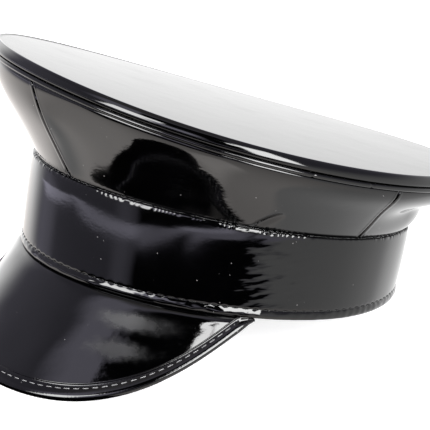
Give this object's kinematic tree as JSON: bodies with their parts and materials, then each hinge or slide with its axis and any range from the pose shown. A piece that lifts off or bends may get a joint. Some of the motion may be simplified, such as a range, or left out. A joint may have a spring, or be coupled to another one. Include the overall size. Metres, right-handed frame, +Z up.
{
  "type": "police hat",
  "caption": "Peaked uniform cap of glossy black vinyl: stiff band, flared side quarters, wide piped oval top and a steep peak with a bound edge.",
  "frame": {"origin": "centre of the bounding box on the floor, with the hat resting on the front edge of its peak and on the back of its band", "axes": "-Y towards the front of the hat, +X towards the wearer's left, +Z up from the floor; the hat itself is leaned back by 12.68 degrees about X"},
  "size_m": [0.2316, 0.2744, 0.1458],
  "materials": {
    "crown_vinyl": "glossy black patent vinyl, soft backed",
    "band_vinyl": "glossy black patent vinyl over a stiff hoop",
    "peak_vinyl": "glossy black vinyl over peak board",
    "trim_vinyl": "glossy black vinyl strip, folded and stitched"
  },
  "bodies": {
    "root": {"crown_top": "crown_vinyl", "rim_piping": "trim_vinyl", "quarter_front_left": "crown_vinyl", "quarter_back_left": "crown_vinyl", "quarter_back_right": "crown_vinyl", "quarter_front_right": "crown_vinyl", "cap_band": "band_vinyl", "peak": "peak_vinyl", "peak_binding": "trim_vinyl"}
  },
  "joints": []
}
